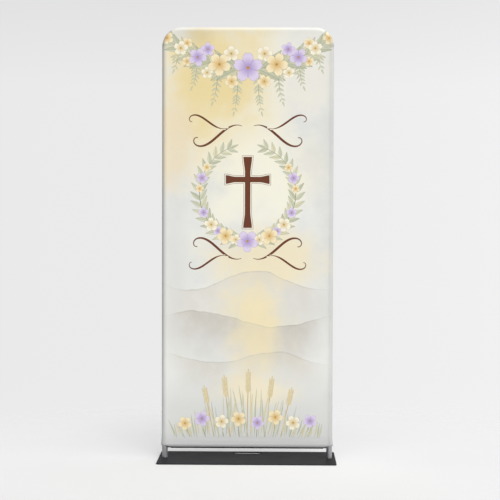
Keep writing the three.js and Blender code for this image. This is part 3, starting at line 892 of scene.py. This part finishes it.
def leg_pole(side, sign, finish):
    """One upright: a hollow tube whose cut ends are broken by a small round."""
    low, high = FOOT_Z, BEND_Z - FIT_GAP / 2
    profile = [(TUBE_RADIUS - TUBE_CUT, low), (TUBE_RADIUS, low + TUBE_CUT), (TUBE_RADIUS, high - TUBE_CUT),
               (TUBE_RADIUS - TUBE_CUT, high), (TUBE_INNER, high), (TUBE_INNER, low)]
    points, faces = lathe_tube(profile, lambda a, b, along: (sign * TUBE_X + a, b, along))
    make_piece(f"{side}_pole", points, faces, finish, [f"{side}_upright"], sharp=TUBE_CREASE)


def hem_bar(finish):
    """The lower rail: a hollow tube whose ends are hollowed to sit against the round poles."""
    seat = TUBE_RADIUS + FIT_GAP

    def place(a, b, along):
        end = TUBE_X - math.sqrt(seat ** 2 - a ** 2)
        return (along * end, a, RAIL_Z + b)

    profile = [(TUBE_RADIUS, -1), (TUBE_RADIUS, 1), (TUBE_INNER, 1), (TUBE_INNER, -1)]
    points, faces = lathe_tube(profile, place)
    make_piece("hem_bar", points, faces, finish, ["lower_rail"], sharp=TUBE_CREASE)


def rounded_loop(half_x, half_y, radius, centre=(0, 0)):
    """A rectangle's outline with round corners, counter-clockwise."""
    loop = []
    for k, (sx, sy) in enumerate(((1, 1), (-1, 1), (-1, -1), (1, -1))):
        cx, cy = centre[0] + sx * (half_x - radius), centre[1] + sy * (half_y - radius)
        for i in range(CORNER_STEPS + 1):
            a = math.radians(90 * k + 90 * i / CORNER_STEPS)
            loop.append((cx + radius * math.cos(a), cy + radius * math.sin(a)))
    return loop


def foot_plate(finish):
    """The steel foot, with soft round edges all round and along the carry slot."""
    slot_y = PLATE_DEPTH / 2 - SLOT_MARGIN - SLOT_WIDTH / 2
    levels = []
    for t in np.radians([90, 60, 30, 0]):
        levels.append((PLATE_EDGE * (1 - math.cos(t)), PLATE_EDGE * (1 - math.sin(t))))
    levels += [(inset, PLATE_THICKNESS - z) for inset, z in reversed(levels)]
    points, faces = [], []
    for inset, z in levels:
        outer = rounded_loop(PLATE_WIDTH / 2 - inset, PLATE_DEPTH / 2 - inset, PLATE_CORNER - inset)
        half_length, half_width = SLOT_LENGTH / 2 + inset, SLOT_WIDTH / 2 + inset
        slot = rounded_loop(half_length, half_width, half_width - 1e-6, (0, slot_y))
        points += [(x, y, z) for x, y in outer + slot]
    count = len(outer)
    last = len(points) - 2 * count
    for a in range(0, last, 2 * count):
        b = a + 2 * count
        faces += band_faces(a, b, count) + band_faces(b + count, a + count, count)
    for base, flip in ((0, True), (last, False)):
        outlines = [[Vector(p) for p in points[at:at + count]] for at in (base, base + count)]
        for tri in tessellate_polygon(outlines):
            tri = [base + t for t in tri]
            p, q, r = (Vector(points[t]) for t in tri)
            up = (q - p).cross(r - p).z > 0
            faces.append(tuple(reversed(tri)) if up == flip else tuple(tri))
    plate = make_piece("foot_plate", points, faces, finish, ["base_plate"], sharp=STRIP_CREASE)
    for face in plate.data.polygons:
        if abs(face.normal.z) > 0.999:
            face.use_smooth = False


def tape_strip(name, start, end, finish):
    """A strip of tape bent round the lower rail, between two angles from the front, down and round."""
    angles = np.linspace(start, end, 9)
    section = [(ZIP_TAPE * math.cos(a), ZIP_TAPE * math.sin(a)) for a in angles]
    section += [(ZIP_INNER * math.cos(a), ZIP_INNER * math.sin(a)) for a in angles[::-1]]
    stations = np.linspace(-ZIP_HALF, ZIP_HALF, 41)
    points = [(x, -front, RAIL_Z - down) for x in stations for front, down in section]
    n, last = len(section), len(points) - len(section)
    faces = []
    for i in range(0, last, n):
        faces += band_faces(i, i + n, n, flip=True)
    faces += [tuple(range(n)), tuple(reversed(range(last, last + n)))]
    return make_piece(name, points, faces, finish, [f"zip_{name}"], sharp=STRIP_CREASE)


def swept_round(points, faces, path, radius, sides):
    """Adds a closed round cord along a short path to a growing mesh."""
    base = len(points)
    path = [Vector(p) for p in path]
    for i, p in enumerate(path):
        ahead = (path[min(i + 1, len(path) - 1)] - path[max(i - 1, 0)]).normalized()
        side = ahead.orthogonal().normalized()
        lift = ahead.cross(side)
        size = radius * (0.55 if i in (0, len(path) - 1) else 1)
        points.extend(tuple(p + size * (a * side + b * lift)) for a, b in ring_of(1, sides))
    last = len(points) - sides
    for i in range(base, last, sides):
        faces.extend(band_faces(i, i + sides, sides))
    faces.extend([tuple(reversed(range(base, base + sides))), tuple(range(last, last + sides))])


def zip_coil(finish):
    """The closed coil: one loop of nylon every 1.5 mm, side by side across the gap between the tapes."""
    points, faces = [], []
    bottom = ZIP_INNER + COIL_LIFT
    for k in range(int(2 * ZIP_HALF / COIL_PITCH)):
        x = -ZIP_HALF + COIL_PITCH * (k + 0.5)
        path = []
        for t in np.linspace(-1, 1, 7):
            a = math.pi / 2 + t * COIL_HALF
            bulge = bottom + COIL_BULGE * math.cos(t * math.pi / 2) ** 0.5 if abs(t) < 1 else bottom
            slant = COIL_SLANT * (1 if k % 2 else -1) * t
            path.append((x + slant, -bulge * math.cos(a), RAIL_Z - bulge * math.sin(a)))
        swept_round(points, faces, path, COIL_CORD, 6)
    make_piece("zip_coil", points, faces, finish, ["zip_chain"])


def stitch_row(name, sign, finish):
    """A row of lock stitches, 3 mm long, through the hem beside the zip: sign -1 in front, 1 behind."""
    points, faces = [], []
    for k in range(int(2 * STITCH_HALF / STITCH_PITCH)):
        x = -STITCH_HALF + STITCH_PITCH * (k + 0.5)
        path = []
        for t, sink in ((-1, STITCH_SINK), (-0.6, 0), (0.6, 0), (1, STITCH_SINK)):
            r = CLOTH_OUTER + STITCH_LIFT - sink
            path.append((x + STITCH_REACH * t, sign * r * math.cos(STITCH_ANGLE),
                         RAIL_Z - r * math.sin(STITCH_ANGLE)))
        swept_round(points, faces, path, STITCH_THREAD, 5)
    return make_piece(name, points, faces, finish)


printed, plain = printed_knit(), plain_knit()
tube, plated, coated = anodised_aluminium(), zinc_plated_steel(), powder_coated_steel()
tape, nylon, thread = woven_tape(), moulded_nylon(), sewing_thread()

points, faces, outer_count = sleeve_half(FRONT_SPACING)
front = make_piece("front_cloth", points, faces, printed, ["front_panel"])
lay_print(front, outer_count, print_plan())
points, faces, _ = sleeve_half(BACK_SPACING)
faces = [tuple(reversed(f)) for f in faces]
back = make_piece("back_cloth", points * (1, -1, 1), faces, plain, ["back_panel"])

for side, sign in (("left", -1), ("right", 1)):
    leg_pole(side, sign, tube)
hem_bar(tube)
foot_plate(coated)

tape_start, tape_end = HEM_ANGLE + ZIP_GAP, math.pi / 2 - CHAIN_HALF - ZIP_GAP
tape_front = tape_strip("tape_front", tape_start, tape_end, tape)
tape_back = tape_strip("tape_back", math.pi - tape_end, math.pi - tape_start, tape)
zip_coil(nylon)
stitches_front = stitch_row("stitches_front", -1, thread)
stitches_back = stitch_row("stitches_back", 1, thread)

for name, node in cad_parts.items():
    metal = plated if "spigot" in name else tube if "bend" in name or name == "top_rail" else None
    if metal:
        node.data.materials.clear()
        node.data.materials.append(metal)


def pale_floor():
    """A round, pale studio floor that fades out into the backdrop's light. Within about a metre of the
    banner it is a little paler: painted light that offsets the banner's shade.
    """
    sides = FLOOR_SIDES
    points = [(0, 0, 0)] + [(x, y, 0) for r in FLOOR_RINGS for x, y in ring_of(r, sides)]
    faces = [(0, 1 + k, 1 + (k + 1) % sides) for k in range(sides)]
    for i in range(1, len(points) - sides, sides):
        faces += band_faces(i, i + sides, sides, flip=True)
    mesh = bpy.data.meshes.new("floor")
    mesh.from_pydata(points, [], faces)
    floor = new_object("floor", mesh)
    material, tree, shader, place = finish_named("matt_studio_floor", Roughness=0.7, IOR=1.3)
    away = add(tree, VECTOR, place, operation="LENGTH", out=1)
    # Painted light: the floor is paler near the banner, to offset the shade the banner casts there.
    tone = ramp(tree, add(tree, MAP, away, 0.0, 1.25), [(0.25, "#f0f0f0"), (0.8, "#ebebeb")])
    link(tree, shader, Base_Color=tone, Alpha=add(tree, MAP, away, 0.9, 2.6, 1.0, 0.0, **SMOOTH))
    mesh.materials.append(material)


def backdrop_light():
    """Soft studio light: dim at the far left, stronger to the right, and brightest high in front."""
    world = bpy.data.worlds.new("studio")
    bpy.context.scene.world = world
    world.use_nodes = True
    tree = world.node_tree
    across, deep, height = add(tree, APART, add(tree, COORD)).node.outputs
    level = add(tree, MAP, height, -0.17, 0.14)
    colour = ramp(tree, level, [(0.0, "#f1f1f1"), (0.2, "#efefef"), (0.8, "#efefef"), (1.0, "#e6e6e6")])
    side = curved(tree, add(tree, MAP, across, -1.0, 1.0), SIDE_LIGHT)
    ahead = add(tree, MAP, deep, -0.5, 0.5, FRONT_LIGHT, 0.0)
    overhead = add(tree, "MULTIPLY_ADD", add(tree, MAP, height, 0.3, 1.0), ahead, EVEN_LIGHT)
    lit = add(tree, VECTOR, colour, operation="SCALE")
    link(tree, lit.node, Scale=add(tree, "MULTIPLY", side, overhead))
    link(tree, tree.nodes["Background"], Color=lit)


def key_light():
    """A large, even key light from far off: in front of the banner, above and a little to the right."""
    light = bpy.data.lights.new("key_light", "SUN")
    light.angle, light.energy = math.radians(KEY_SPREAD), KEY_POWER
    lamp = new_object("key_light", light)
    lamp.rotation_euler = (-Vector(KEY_FROM)).to_track_quat("-Z", "Y").to_euler()


def viewing_camera():
    """The camera of the photograph: about 8 m away, at breast height, a long lens."""
    lens = bpy.data.cameras.new("camera")
    lens.lens, lens.sensor_width = CAMERA_LENS, CAMERA_SENSOR
    camera = new_object("camera", lens)
    look = Matrix.Rotation(-CAMERA_YAW, 4, "Z") @ Matrix.Rotation(math.pi / 2 + CAMERA_PITCH, 4, "X")
    camera.matrix_world = Matrix.Translation(CAMERA_AT) @ look @ Matrix.Rotation(CAMERA_ROLL, 4, "Z")
    bpy.context.scene.camera = camera


pale_floor()
backdrop_light()
key_light()
viewing_camera()
bpy.context.scene.view_settings.view_transform = "Standard"
